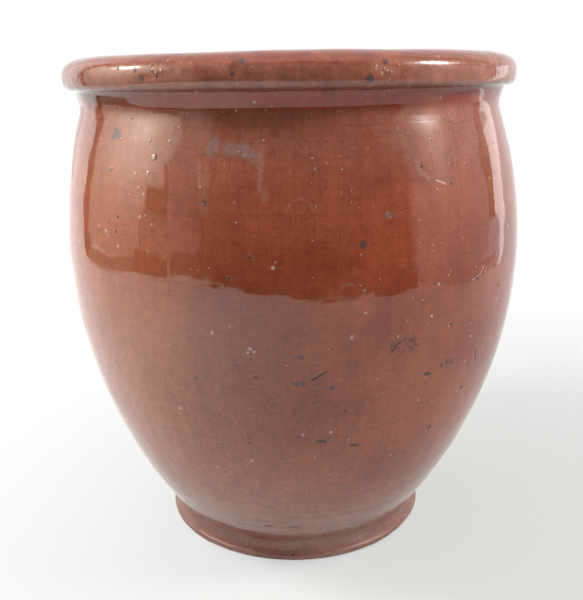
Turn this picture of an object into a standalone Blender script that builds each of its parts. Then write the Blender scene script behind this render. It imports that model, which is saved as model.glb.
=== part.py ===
"""A wheel-thrown redware preserve crock, standing on the ground plane with its axis on Z.

It is one fired clay body that carries two glaze coats, one outside and one inside. The coats meet at
the lip. The outside coat stops just short of the ground and the underside stays bare, so that the pot
doesn't stick to the kiln's shelf.
"""
import math

import bpy
from mathutils import Vector

MM = 0.001

# Clay body: the swelling wall, measured on the bare clay
BODY_HEIGHT = 189.2 * MM
BELLY_RADIUS = 89.3 * MM
BELLY_HEIGHT = 117.5 * MM
NECK_RADIUS = 80.1 * MM
NECK_DROP = 18.0 * MM
WALL_THICKNESS = 7.0 * MM

# Clay body: the rolled bead round the mouth, measured from the neck and down from the crown
BEAD_OVERHANG = 5.5 * MM
BEAD_DROP = 5.2 * MM
CREASE_DROP = 10.0 * MM
CREASE_FLARE = 1.4 * MM
LIP_DROP = 4.6 * MM

# Clay body: the floor and the foot
FOOT_RADIUS = 53.0 * MM
FOOT_HEIGHT = 3.2 * MM
FOOT_ROUND = 0.7 * MM
FOOT_BEVEL = 0.8 * MM
GLAZE_STOP = 0.5 * MM
WAIST_HEIGHT = 8.6 * MM
WAIST_INSET = 0.9 * MM
FLOOR_THICKNESS = 9.0 * MM
FLOOR_CORNER = 13.0 * MM

# Glaze coats: each lies one clearance off the clay and off the other coat
COAT_THICKNESS = 0.5 * MM
COAT_CLEARANCE = 0.3 * MM

# Shares: the crown over the wall, the bends of the cove and of the inner neck, the underside of the bead
CROWN_INSET_SHARE = 0.6
COVE_BEND_SHARE = 0.5
INNER_BEND_SHARE = 0.35
UNDERSIDE_SHARE = 0.3

# Counts: facets round the axis, and steps along each stretch of the outline
FACETS = 48
SHOULDER_STEPS = 4
LOWER_WALL_STEPS = 8
INNER_WALL_STEPS = 10
BEAD_STEPS = 5
ROUND_STEPS = 3
GROOVE_STEPS = 4

MERGE_DISTANCE = 0.01 * MM

# Heights and radii that follow from the sizes above
NECK_HEIGHT = BODY_HEIGHT - NECK_DROP
CREASE_HEIGHT = BODY_HEIGHT - CREASE_DROP
BEAD_HEIGHT = BODY_HEIGHT - BEAD_DROP
LIP_HEIGHT = BODY_HEIGHT - LIP_DROP
BEAD_RADIUS = NECK_RADIUS + BEAD_OVERHANG
CREASE_RADIUS = NECK_RADIUS + CREASE_FLARE
CROWN_RADIUS = NECK_RADIUS - WALL_THICKNESS * CROWN_INSET_SHARE
LIP_RADIUS = NECK_RADIUS - WALL_THICKNESS
WAIST_RADIUS = FOOT_RADIUS - WAIST_INSET
INNER_WALL_FOOT = FLOOR_THICKNESS + FLOOR_CORNER


def clear_scene():
    """Remove whatever objects the file opened with."""
    for old in list(bpy.data.objects):
        bpy.data.objects.remove(old, do_unlink=True)


def wall_radius(height):
    """Outer radius of the swelling wall: a parabola that is upright at the belly."""
    if height > BELLY_HEIGHT:
        share = (height - BELLY_HEIGHT) / (NECK_HEIGHT - BELLY_HEIGHT)
        return BELLY_RADIUS - (BELLY_RADIUS - NECK_RADIUS) * share ** 2
    share = (BELLY_HEIGHT - height) / (BELLY_HEIGHT - WAIST_HEIGHT)
    return BELLY_RADIUS - (BELLY_RADIUS - WAIST_RADIUS) * share ** 2


def wall_slope(height):
    """How far the wall's radius grows for each step up, at this height."""
    if height > BELLY_HEIGHT:
        rise = NECK_HEIGHT - BELLY_HEIGHT
        return -2 * (BELLY_RADIUS - NECK_RADIUS) * (height - BELLY_HEIGHT) / rise ** 2
    rise = BELLY_HEIGHT - WAIST_HEIGHT
    return 2 * (BELLY_RADIUS - WAIST_RADIUS) * (BELLY_HEIGHT - height) / rise ** 2


def wall_stretch(start, end, inset, steps):
    """Points along the wall from one height to another, moved inwards by the inset."""
    heights = [start + (end - start) * step / steps for step in range(steps + 1)]
    return [Vector((wall_radius(height) - inset, height)) for height in heights]


def bend(start, corner, end, steps):
    """Points of a smooth bend from start to end that leans towards its corner."""
    points = []
    for step in range(steps + 1):
        share = step / steps
        points.append(start * (1 - share) ** 2 + corner * 2 * share * (1 - share) + end * share ** 2)
    return points


def arc(centre, reach_out, reach_up, start_angle, end_angle, steps):
    """Points of an elliptical arc, its angles counted from the outward direction."""
    points = []
    for step in range(steps + 1):
        angle = start_angle + (end_angle - start_angle) * step / steps
        points.append(centre + Vector((reach_out * math.cos(angle), reach_up * math.sin(angle))))
    return points


def inside_outline():
    """From the middle of the floor, round its corner and up the inner wall to the lip."""
    wall = wall_stretch(INNER_WALL_FOOT, NECK_HEIGHT, WALL_THICKNESS, INNER_WALL_STEPS)
    corner_radius = wall[0].x - wall_slope(INNER_WALL_FOOT) * FLOOR_CORNER
    corner = Vector((corner_radius, FLOOR_THICKNESS))
    floor_edge = Vector((corner_radius - FLOOR_CORNER, FLOOR_THICKNESS))
    floor = [Vector((0, FLOOR_THICKNESS))] + bend(floor_edge, corner, wall[0], ROUND_STEPS)
    lip = Vector((LIP_RADIUS, LIP_HEIGHT))
    rise = (LIP_HEIGHT - NECK_HEIGHT) * INNER_BEND_SHARE
    inner_bend = Vector((wall[-1].x + wall_slope(NECK_HEIGHT) * rise, NECK_HEIGHT + rise))
    return floor + wall[1:] + bend(wall[-1], inner_bend, lip, ROUND_STEPS)[1:]


def bead_outline():
    """From the lip over the crown, round the bead and in to the crease beneath it."""
    lip_foot = Vector((CROWN_RADIUS, LIP_HEIGHT + COAT_CLEARANCE))
    lip_rise = BODY_HEIGHT - lip_foot.y
    lip = arc(lip_foot, CROWN_RADIUS - LIP_RADIUS, lip_rise, math.pi, math.pi / 2, ROUND_STEPS)
    bead_centre = Vector((CROWN_RADIUS, BEAD_HEIGHT))
    top = arc(bead_centre, BEAD_RADIUS - CROWN_RADIUS, BEAD_DROP, math.pi / 2, 0, BEAD_STEPS)
    underside = CREASE_RADIUS + (BEAD_RADIUS - CREASE_RADIUS) * UNDERSIDE_SHARE
    under_centre = Vector((underside, BEAD_HEIGHT))
    under_drop = BEAD_HEIGHT - CREASE_HEIGHT
    under = arc(under_centre, BEAD_RADIUS - underside, under_drop, 0, -math.pi / 2, ROUND_STEPS)
    return lip + top[1:] + under[1:] + [Vector((CREASE_RADIUS, CREASE_HEIGHT))]


def outer_wall_outline():
    """From the crease down the cove of the neck, the shoulder and the lower wall to the waist."""
    neck = Vector((NECK_RADIUS, NECK_HEIGHT))
    rise = (CREASE_HEIGHT - NECK_HEIGHT) * COVE_BEND_SHARE
    cove_bend = Vector((NECK_RADIUS + wall_slope(NECK_HEIGHT) * rise, NECK_HEIGHT + rise))
    cove = bend(Vector((CREASE_RADIUS, CREASE_HEIGHT)), cove_bend, neck, ROUND_STEPS)
    shoulder = wall_stretch(NECK_HEIGHT, BELLY_HEIGHT, 0, SHOULDER_STEPS)
    lower = wall_stretch(BELLY_HEIGHT, WAIST_HEIGHT, 0, LOWER_WALL_STEPS)
    return cove[1:] + shoulder[1:] + lower[1:]


def groove_outline():
    """The hollow above the foot: it runs on from the wall and turns out to the foot's top edge."""
    waist = Vector((WAIST_RADIUS, WAIST_HEIGHT))
    foot_top = Vector((FOOT_RADIUS - FOOT_ROUND, FOOT_HEIGHT))
    drop = (WAIST_HEIGHT - FOOT_HEIGHT) / 2
    turn = Vector((WAIST_RADIUS - wall_slope(WAIST_HEIGHT) * drop, WAIST_HEIGHT - drop))
    return bend(waist, turn, foot_top, GROOVE_STEPS)[1:]


def foot_edge_outline():
    """The rounded edge of the foot, down to the line where the outside coat stops."""
    round_centre = Vector((FOOT_RADIUS - FOOT_ROUND, FOOT_HEIGHT - FOOT_ROUND))
    edge = arc(round_centre, FOOT_ROUND, FOOT_ROUND, math.pi / 2, 0, ROUND_STEPS)
    return edge[1:] + [Vector((FOOT_RADIUS, FOOT_BEVEL + GLAZE_STOP))]


def underside_outline():
    """The bare clay below the coat: the foot's bevel, and the flat underside in to the axis."""
    bevel = [Vector((FOOT_RADIUS, FOOT_BEVEL)), Vector((FOOT_RADIUS - FOOT_BEVEL, 0))]
    return bevel + [Vector((0, 0))]


def shifted(path, distance):
    """The path moved off the clay by a distance, with its corners mitred."""
    normals = []
    for start, end in zip(path, path[1:]):
        along = (end - start).normalized()
        normals.append(Vector((-along.y, along.x)))
    moved = []
    for index, point in enumerate(path):
        before = normals[max(index - 1, 0)]
        after = normals[min(index, len(normals) - 1)]
        middle = (before + after).normalized()
        moved.append(point + middle * distance / middle.dot(after))
    return moved


def coat_outline(path):
    """A thin layer over the path: its face to the air, then its face to the clay."""
    face = shifted(path, COAT_CLEARANCE + COAT_THICKNESS)
    back = shifted(path, COAT_CLEARANCE)
    return face + back[::-1]


def turned(name, outline, closed, material, collection, parent):
    """Turn an outline of radii and heights round the axis into a solid."""
    edges = [(index, index + 1) for index in range(len(outline) - 1)]
    if closed:
        edges.append((len(outline) - 1, 0))
    mesh = bpy.data.meshes.new(name)
    mesh.from_pydata([(point.x, 0, point.y) for point in outline], edges, [])
    mesh.materials.append(material)
    turned_object = bpy.data.objects.new(name, mesh)
    turned_object.parent = parent
    collection.objects.link(turned_object)
    screw = turned_object.modifiers.new("Wheel", "SCREW")
    screw.axis = "Z"
    screw.angle = 2 * math.pi
    screw.steps = FACETS
    screw.render_steps = FACETS
    screw.use_merge_vertices = True
    screw.merge_threshold = MERGE_DISTANCE
    screw.use_smooth_shade = True
    return turned_object


def finish(name, colour, roughness):
    """A Principled material of one colour and roughness."""
    material = bpy.data.materials.new(name)
    material.use_nodes = True
    material.diffuse_color = (*colour, 1.0)
    shader = material.node_tree.nodes["Principled BSDF"]
    shader.inputs["Base Color"].default_value = (*colour, 1.0)
    shader.inputs["Roughness"].default_value = roughness
    shader.inputs["Metallic"].default_value = 0.0
    return material


def build():
    """Make the clay body and its two coats."""
    clear_scene()
    collection = bpy.data.collections.new("preserve_crock")
    bpy.context.scene.collection.children.link(collection)
    foot_centre = bpy.data.objects.new("foot_centre", None)
    collection.objects.link(foot_centre)

    inside = inside_outline()
    outside = bead_outline() + outer_wall_outline() + groove_outline() + foot_edge_outline()

    clay = finish("fired_clay", (0.42, 0.17, 0.09), 0.8)
    outside_finish = finish("outside_glaze", (0.3, 0.07, 0.035), 0.08)
    inside_finish = finish("inside_glaze", (0.34, 0.1, 0.045), 0.1)

    body = inside + outside + underside_outline()
    turned("clay_body", body, False, clay, collection, foot_centre)
    turned("outside_glaze", coat_outline(outside), True, outside_finish, collection, foot_centre)
    turned("inside_glaze", coat_outline(inside), False, inside_finish, collection, foot_centre)


build()
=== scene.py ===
# %% [markdown]
# # A redware preserve crock
#
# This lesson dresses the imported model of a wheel-thrown crock: a swelling body, a narrowed neck, a
# rolled bead round the mouth and a small foot, under a glossy red-brown lead glaze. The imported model
# is the fixed frame. Every piece made here stands for one of its solids and keeps its place.

# %% Load the frame
import math
import random

import bpy
from mathutils import Matrix, Vector
from mathutils.bvhtree import BVHTree


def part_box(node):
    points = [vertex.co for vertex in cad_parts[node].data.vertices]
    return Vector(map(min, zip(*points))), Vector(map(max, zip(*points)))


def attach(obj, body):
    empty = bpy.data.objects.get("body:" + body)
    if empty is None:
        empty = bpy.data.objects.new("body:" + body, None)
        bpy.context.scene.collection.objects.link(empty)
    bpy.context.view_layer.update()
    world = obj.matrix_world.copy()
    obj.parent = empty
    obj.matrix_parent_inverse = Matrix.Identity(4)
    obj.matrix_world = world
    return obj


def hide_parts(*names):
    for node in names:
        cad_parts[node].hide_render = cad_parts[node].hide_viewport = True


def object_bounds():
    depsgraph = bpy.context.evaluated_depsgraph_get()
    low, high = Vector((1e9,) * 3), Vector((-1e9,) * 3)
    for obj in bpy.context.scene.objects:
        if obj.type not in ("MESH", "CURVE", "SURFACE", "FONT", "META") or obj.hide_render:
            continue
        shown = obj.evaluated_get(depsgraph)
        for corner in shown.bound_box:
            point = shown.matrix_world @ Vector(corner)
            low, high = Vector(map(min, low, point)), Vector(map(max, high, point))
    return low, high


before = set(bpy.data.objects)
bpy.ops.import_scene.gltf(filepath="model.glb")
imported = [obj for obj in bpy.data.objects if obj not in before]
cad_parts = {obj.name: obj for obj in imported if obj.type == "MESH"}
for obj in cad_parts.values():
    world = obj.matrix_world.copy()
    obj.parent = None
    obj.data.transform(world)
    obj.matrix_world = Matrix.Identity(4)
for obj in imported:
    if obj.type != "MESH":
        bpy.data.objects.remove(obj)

MM = 0.001
cad_low, cad_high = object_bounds()
coat_low, coat_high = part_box("outside_glaze")
print("CAD box in mm:", [round(side / MM, 1) for side in cad_high - cad_low])

# %% [markdown]
# ## The camera
#
# The photograph was taken from close by, a little below the level of the rim and tilted down, so the
# mouth shows as a thin line and the foot as a deep curve. A camera can be aimed with a Track To
# constraint, but here the tilt and the small roll are known, so they are given as angles.

# %% Camera
CAMERA_PLACE = Vector((-0.0012, -0.3051, 0.1790))
CAMERA_TILT_DOWN = math.radians(16.06)
CAMERA_ROLL = math.radians(0.90)
CAMERA_LENS = 44.34
CAMERA_SENSOR = 36.0
PICTURE_WIDTH = 583
PICTURE_HEIGHT = 600
PIXEL = 0.40 * MM


def add_camera():
    """A camera that looks along +Y, tilted down, and turned a little about its own line of sight."""
    tilt = Matrix.Rotation(math.pi / 2 - CAMERA_TILT_DOWN, 3, "X")
    roll = Matrix.Rotation(-CAMERA_ROLL, 3, "Z")
    bpy.ops.object.camera_add(location=CAMERA_PLACE, rotation=(tilt @ roll).to_euler())
    camera = bpy.context.object
    camera.data.lens = CAMERA_LENS
    camera.data.sensor_width = CAMERA_SENSOR
    bpy.context.scene.camera = camera
    return camera


def sight_line(camera, pixel):
    """The direction in which the camera sees a pixel of the photograph."""
    focal = CAMERA_LENS / CAMERA_SENSOR * PICTURE_HEIGHT
    across = (pixel[0] - PICTURE_WIDTH / 2) / focal
    up = (PICTURE_HEIGHT / 2 - pixel[1]) / focal
    turn = camera.rotation_euler.to_matrix()
    return (turn @ Vector((across, up, -1))).normalized()


camera = add_camera()
print("Camera at", [round(part, 3) for part in camera.location])

# %% [markdown]
# ## Floor and studio
#
# A plain pale floor carries the pot and takes its soft shadow. Away from the pot its material fades to
# the white of the world for the rays that look at it, so no horizon shows from any side.

# %% Small helpers for objects
def deselect_all():
    """Leave nothing selected, because an operator acts on all that is."""
    bpy.ops.object.select_all(action="DESELECT")


def pick(piece):
    """Select one object alone and make it the active one."""
    deselect_all()
    piece.select_set(True)
    bpy.context.view_layer.objects.active = piece
    return piece


def apply_modifier(piece, kind, name, **settings):
    """Add a modifier with these settings and apply it."""
    pick(piece)
    modifier = piece.modifiers.new(name, kind)
    for setting, value in settings.items():
        setattr(modifier, setting, value)
    bpy.ops.object.modifier_apply(modifier=name)
    return piece


# %% Small helpers for materials
tree = None


def start_nodes(owner):
    """Empty the node tree of a material or a world. All helpers add to the tree that was started last."""
    global tree
    owner.use_nodes = True
    tree = owner.node_tree
    tree.nodes.clear()
    return owner


def new_material(name):
    """A material that is ready for its nodes."""
    return start_nodes(bpy.data.materials.new(name))


def set_socket(socket, value):
    """Give a socket a plain value, or link another node's output to it."""
    if isinstance(value, bpy.types.NodeSocket):
        tree.links.new(value, socket)
    else:
        socket.default_value = value


def put(kind, options=None, **sockets):
    """Add a node. Options are its own settings, and each socket takes a value or another node's output."""
    node = tree.nodes.new(kind)
    for option, value in (options or {}).items():
        setattr(node, option, value)
    for name, value in sockets.items():
        set_socket(node.inputs[name.replace("_", " ")], value)
    return node


def finish_nodes(shader, kind="ShaderNodeOutputMaterial"):
    """Link a shader to the tree's output."""
    put(kind, Surface=shader.outputs[0])


def calculate(operation, *values):
    """A Math node on one, two or three numbers or outputs."""
    node = put("ShaderNodeMath", {"operation": operation})
    for socket, value in zip(node.inputs, values):
        set_socket(socket, value)
    return node.outputs[0]


def vector_math(operation, *values):
    """A Vector Math node, which gives its number output where it measures and its vector otherwise."""
    node = put("ShaderNodeVectorMath", {"operation": operation})
    vectors = [socket for socket in node.inputs if socket.name != "Scale"]
    sockets = [vectors[0], node.inputs["Scale"]] if operation == "SCALE" else vectors
    for socket, value in zip(sockets, values):
        set_socket(socket, value)
    measures = operation in ("DISTANCE", "DOT_PRODUCT", "LENGTH")
    return node.outputs["Value" if measures else "Vector"]


def scaled(value, factor, base):
    """The value times a factor, plus a base."""
    return calculate("MULTIPLY_ADD", value, factor, base)


def product(*values):
    """All the values multiplied."""
    result = values[0]
    for value in values[1:]:
        result = calculate("MULTIPLY", result, value)
    return result


def most(*values):
    """The greatest of the values."""
    result = values[0]
    for value in values[1:]:
        result = calculate("MAXIMUM", result, value)
    return result


def own_place():
    """The place of each point in its piece's own space."""
    return put("ShaderNodeTexCoord").outputs["Object"]


def parts_of(place):
    """The three coordinates of a place."""
    node = put("ShaderNodeSeparateXYZ", Vector=place)
    return node.outputs["X"], node.outputs["Y"], node.outputs["Z"]


def between(value, start, end):
    """0 up to start, 1 from end, and a smooth rise in between; it falls where end is below start."""
    options = {"interpolation_type": "SMOOTHSTEP"}
    sockets = {"Value": value, "From_Min": start, "From_Max": end}
    return put("ShaderNodeMapRange", options, **sockets).outputs["Result"]


# %% Floor
FLOOR_RADIUS = 3.0
FLOOR_SIDES = 96
FLOOR_COLOUR = (0.49, 0.51, 0.48, 1)
NEAR_FADE = 0.37
FADE_CENTRE = (0.16, -0.05, 0)
FADE_START = 0.04
FADE_END = 0.40
LEFT_REACH = -0.25
LEFT_GAIN = 0.45
WHITE = (1, 1, 1, 1)


def ray_is(kind):
    """1 for one kind of ray, such as Camera or Glossy, and 0 for the others."""
    return put("ShaderNodeLightPath").outputs["Is " + kind + " Ray"]


def seen_directly():
    """1 for the rays that look at a thing, straight or in a gloss, and 0 for those that gather light."""
    return most(ray_is("Camera"), ray_is("Glossy"), ray_is("Transmission"))


def floor_material():
    """Matt and pale near the pot, fading to plain white, which the gloss sees brighter on the left."""
    material = new_material("floor_paper")
    place = own_place()
    far = between(vector_math("DISTANCE", place, FADE_CENTRE), FADE_START, FADE_END)
    fade = product(scaled(far, 1 - NEAR_FADE, NEAR_FADE), seen_directly())
    left = product(between(parts_of(place)[0], 0, LEFT_REACH), ray_is("Glossy"))
    paper = put("ShaderNodeBsdfDiffuse", Color=FLOOR_COLOUR)
    glow = put("ShaderNodeEmission", Color=WHITE, Strength=scaled(left, LEFT_GAIN, 1.0))
    mix = put("ShaderNodeMixShader", Fac=fade)
    set_socket(mix.inputs[1], paper.outputs[0])
    set_socket(mix.inputs[2], glow.outputs[0])
    finish_nodes(mix)
    return material


def add_floor():
    """A wide disc, whose rim is out of every view."""
    bpy.ops.mesh.primitive_circle_add(vertices=FLOOR_SIDES, radius=FLOOR_RADIUS, fill_type="NGON")
    floor = bpy.context.object
    floor.name = "floor"
    floor.data.materials.append(floor_material())
    return floor


deselect_all()
floor = add_floor()
print("Floor", FLOOR_RADIUS * 2, "m across")

# %% [markdown]
# ## Light
#
# A glossy pot shows the room it stands in. The room was bright at both sides and dark in front, behind
# the camera, with the white table ending half a metre from the pot. The world is a plain white that is
# dim in front, and two soft lamps stand at the sides. Cards that only the gloss sees stand in for the
# walls, because a wall that gave light would wash the whole floor.

# %% World
WORLD_LIGHT = 0.68
FRONT = (0, -0.97, -0.24)
FRONT_EDGE = 0.45
FRONT_CORE = 0.80


def light_world():
    """White to look at. As a light it is dimmer, and dark on the side behind the camera."""
    world = start_nodes(bpy.data.worlds.new("studio"))
    bpy.context.scene.world = world
    direction = put("ShaderNodeTexCoord").outputs["Generated"]
    towards_front = vector_math("DOT_PRODUCT", direction, FRONT)
    light = product(between(towards_front, FRONT_CORE, FRONT_EDGE), WORLD_LIGHT)
    background = put("ShaderNodeBackground", Color=WHITE, Strength=most(light, seen_directly()))
    finish_nodes(background, "ShaderNodeOutputWorld")


# %% Lamps
LAMP_DISTANCE = 0.65
LAMP_SIZE = 0.18
LAMPS = [("left_lamp", -84, 44, 3.9), ("right_lamp", 70, 44, 3.3)]
POT_MIDDLE = (cad_low + cad_high) / 2


def bearing_direction(bearing, tilt=0):
    """Unit direction at a bearing, in degrees from straight in front to the right, and tilted up."""
    turn, tilt = math.radians(bearing), math.radians(tilt)
    level = math.cos(tilt)
    return Vector((math.sin(turn) * level, -math.cos(turn) * level, math.sin(tilt)))


def add_lamp(name, bearing, tilt, power):
    """A square soft lamp aimed at the middle of the pot. The cards show its glare in its place."""
    direction = bearing_direction(bearing, tilt)
    place = POT_MIDDLE + direction * LAMP_DISTANCE
    aim = direction.to_track_quat("Z", "Y").to_euler()
    bpy.ops.object.light_add(type="AREA", location=place, rotation=aim)
    lamp = bpy.context.object
    lamp.name = name
    lamp.data.size = LAMP_SIZE
    lamp.data.energy = power
    lamp.visible_glossy = False


light_world()
for lamp in LAMPS:
    add_lamp(*lamp)
bpy.context.scene.view_settings.view_transform = "Standard"
print("Lamps, with their bearings, tilts and powers:", LAMPS)

# %% Cards that the gloss reflects
CARD_DISTANCE = 0.56
GLARE_SHARPNESS = 2.2
HARD_EDGE = 0.001
WARM_WALL = (1, 0.94, 0.82, 1)


def card_material(name, strength, glares, colour, soft_left, soft_right):
    """A card of one plain strength and its glares, which fades over these shares of its width."""
    material = new_material(name)
    coordinates = put("ShaderNodeTexCoord")
    for centre, reach, peak in glares:
        offset = vector_math("DISTANCE", coordinates.outputs["Object"], centre)
        near = calculate("POWER", between(offset, reach, 0), GLARE_SHARPNESS)
        strength = scaled(near, peak, strength)
    across = parts_of(coordinates.outputs["UV"])[0]
    strength = product(strength, between(across, 0, soft_left), between(across, 1, 1 - soft_right))
    finish_nodes(put("ShaderNodeEmission", Color=colour, Strength=strength))
    return material


def card_point(bearing, height, distance=CARD_DISTANCE):
    """The place at a bearing, a height and a distance from the axis of the pot."""
    place = bearing_direction(bearing) * distance
    place.z = height
    return place


def add_card(name, bearings, heights, strength, glares=(), **options):
    """An upright card between two bearings. An option gives it another pair of bearings at its top."""
    distance = options.get("distance", CARD_DISTANCE)
    soft_left = options.get("soft_left", HARD_EDGE)
    soft_right = options.get("soft_right", HARD_EDGE)
    deselect_all()
    bpy.ops.mesh.primitive_plane_add(size=1)
    card = bpy.context.object
    card.name = name
    corners = [(bearing, heights[0]) for bearing in bearings]
    corners += [(bearing, heights[1]) for bearing in options.get("top", bearings)]
    for vertex, corner in zip(card.data.vertices, corners):
        vertex.co = card_point(*corner, distance)
    colour = options.get("colour", WHITE)
    card.data.materials.append(card_material(name, strength, glares, colour, soft_left, soft_right))
    card.visible_camera = False
    card.visible_diffuse = False
    card.visible_shadow = False


# %% The walls of the room
ROOM_DISTANCE = 0.68
CORNER_DISTANCE = 0.62
DOOR_DISTANCE = 0.50
STEP_DISTANCE = 0.49
LEFT_GLARES = [(card_point(-80, 0.40), 0.44, 4.4), (card_point(-82, 0.44), 0.165, 50.0)]
RIGHT_GLARES = [(card_point(71, 0.30), 0.17, 1.5), (card_point(74, 0.48), 0.21, 42.0)]
add_card("dark_room", (-40, 50), (0, 1.0), 0.02, distance=ROOM_DISTANCE)
add_card("front_corner", (46, 60), (0, 1.3), 0.02, distance=CORNER_DISTANCE)
add_card("left_gap", (-55, -35), (0.10, 1.3), 0.52, soft_right=0.55)
add_card("left_gap_foot", (-55, -38), (0.018, 0.10), 0.08)
add_card("left_wall", (-107, -55), (0.055, 1.3), 0.8, LEFT_GLARES, colour=WARM_WALL)
add_card("left_skirting", (-107, -74), (0.024, 0.055), 0.25, distance=DOOR_DISTANCE)
add_card("left_step", (-74, -55), (0.022, 0.080), 0.06, distance=DOOR_DISTANCE)
add_card("left_bench", (-71, -55), (0.080, 0.172), 0.45, distance=DOOR_DISTANCE, top=(-70, -55))
add_card("left_doorway", (-67, -56), (0.172, 0.222), 0.02, distance=DOOR_DISTANCE, top=(-67, -55))
add_card("left_post", (-58, -55), (0.222, 0.30), 0.05, distance=DOOR_DISTANCE)
add_card("left_corner", (-114, -107), (0.02, 0.60), 0.03)
add_card("left_edge", (-136, -114), (0, 0.60), 1.4)
add_card("right_wall", (53, 102), (0.04, 1.3), 0.75, RIGHT_GLARES, soft_left=0.11, top=(44, 102))
add_card("right_gap", (102, 110), (0.10, 1.3), 0.30)
add_card("right_skirting", (55, 108), (0, 0.04), 0.62, top=(53, 108))
add_card("right_window", (110, 113), (0, 0.26), 2.3, top=(110, 128))
add_card("front_step", (34, 56), (0, 0.04), 0.05, distance=STEP_DISTANCE, soft_left=0.3, top=(34, 55))

# %% [markdown]
# ## The shape of the pot
#
# The pot was thrown on a wheel, so one outline gives its whole form. It can be turned with the Screw
# modifier or with Spin in edit mode. Here a vertex is extruded from point to point, as by hand, and
# spun once round into a cage with few faces, which a Subdivision Surface modifier then rounds.

# %% Sizes of the glazed face
BELLY_RADIUS = coat_high.x
BELLY_HEIGHT = 117.5 * MM
POT_HEIGHT = coat_high.z
NECK_RADIUS = 80.9 * MM
NECK_HEIGHT = 171.0 * MM
WAIST_RADIUS = 53.5 * MM
WAIST_HEIGHT = 8.4 * MM
print("Belly", round(BELLY_RADIUS / MM, 1), "mm, height", round(POT_HEIGHT / MM, 1), "mm")


def wall_radius(height):
    """Radius of the glazed wall: it swells in a parabola that stands upright at the belly."""
    end_radius, end_height = (NECK_RADIUS, NECK_HEIGHT)
    if height < BELLY_HEIGHT:
        end_radius, end_height = (WAIST_RADIUS, WAIST_HEIGHT)
    share = (height - BELLY_HEIGHT) / (end_height - BELLY_HEIGHT)
    return BELLY_RADIUS - (BELLY_RADIUS - end_radius) * share ** 2


def wall_slope(height):
    """How fast the wall's radius grows with height."""
    step = 0.01 * MM
    return (wall_radius(height + step) - wall_radius(height - step)) / (2 * step)


# %% Sizes of the bead, the cove, the foot and the layers
CROWN_RADIUS = 75.9 * MM
BEAD_HEIGHT = 183.4 * MM
BEAD_REACH = 10.5 * MM
BEAD_SQUARENESS = 0.86
UNDER_RADIUS = 82.9 * MM
UNDER_SQUARENESS = 0.72
CREASE_RADIUS = 82.2 * MM
CREASE_HEIGHT = 178.4 * MM
COVE_RADIUS = 80.95 * MM
COVE_HEIGHT = 173.9 * MM
SHOULDER_HEIGHT = 169.3 * MM
LIP_HEIGHT = 185.4 * MM
LIP_REACH = 3.6 * MM
GROOVE_HEIGHT = 9.6 * MM
FOOT_RADIUS = 54.9 * MM
FOOT_TOP = 3.1 * MM
FOOT_ROUND = 0.6 * MM
GLAZE_LINE = 1.2 * MM
COAT_BACK = 0.5 * MM
CLAY_DEPTH = 0.8 * MM

SHOULDER_STEPS = 9
LOWER_STEPS = 18


def point(radius, height):
    """A point of an outline, drawn in the plane of X and Z."""
    return Vector((radius, 0, height))


def steps_between(start, end, steps):
    """Evenly spaced values from start to end."""
    return [start + (end - start) * step / steps for step in range(steps + 1)]


def arc(centre, reach_out, reach_up, start, end, steps, squareness=1.0):
    """Points of an oval arc between two angles in degrees. A squareness under 1 fills its corner."""
    points = []
    for degrees in steps_between(start, end, steps):
        angle = math.radians(degrees)
        out = math.copysign(abs(math.cos(angle)) ** squareness, math.cos(angle))
        up = math.copysign(abs(math.sin(angle)) ** squareness, math.sin(angle))
        points.append(centre + point(reach_out * out, reach_up * up))
    return points


def bend(start, corner, end, steps):
    """Points of a smooth bend from start to end that leans towards its corner."""
    points = []
    for share in steps_between(0, 1, steps):
        points.append(start * (1 - share) ** 2 + corner * 2 * share * (1 - share) + end * share ** 2)
    return points


def wall(start, end, steps, depth):
    """Points down the wall, this deep under the glazed face."""
    heights = steps_between(start, end, steps)
    return [point(wall_radius(height) - depth, height) for height in heights]


# %% Outline of the outside
def bead_outline(depth):
    """From the lip over the crown, round the bead and in under it."""
    lip = point(CROWN_RADIUS, LIP_HEIGHT)
    crown = arc(lip, LIP_REACH - depth, POT_HEIGHT - LIP_HEIGHT - depth, 180, 90, 3)
    centre = point(CROWN_RADIUS, BEAD_HEIGHT)
    height = POT_HEIGHT - BEAD_HEIGHT - depth
    top = arc(centre, BEAD_REACH - depth, height, 90, 0, 7, BEAD_SQUARENESS)
    reach = CROWN_RADIUS + BEAD_REACH - UNDER_RADIUS - depth
    drop = BEAD_HEIGHT - CREASE_HEIGHT - depth
    under = arc(point(UNDER_RADIUS, BEAD_HEIGHT), reach, drop, 0, -90, 5, UNDER_SQUARENESS)
    return crown + top[1:] + under[1:]


def cove_outline(depth):
    """From the crease under the bead, leaning in to the neck and out again to the shoulder."""
    crease = point(CREASE_RADIUS - depth, CREASE_HEIGHT + depth)
    cove = point(COVE_RADIUS - depth, COVE_HEIGHT)
    shoulder = point(wall_radius(SHOULDER_HEIGHT) - depth, SHOULDER_HEIGHT)
    lean = (CREASE_RADIUS - COVE_RADIUS) / (CREASE_HEIGHT - COVE_HEIGHT)
    slope = wall_slope(SHOULDER_HEIGHT)
    up = ((COVE_HEIGHT - SHOULDER_HEIGHT) * lean + shoulder.x - cove.x) / (lean - slope)
    corner = point(shoulder.x + slope * up, SHOULDER_HEIGHT + up)
    return [crease, (crease + cove) / 2] + bend(cove, corner, shoulder, 5)


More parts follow.
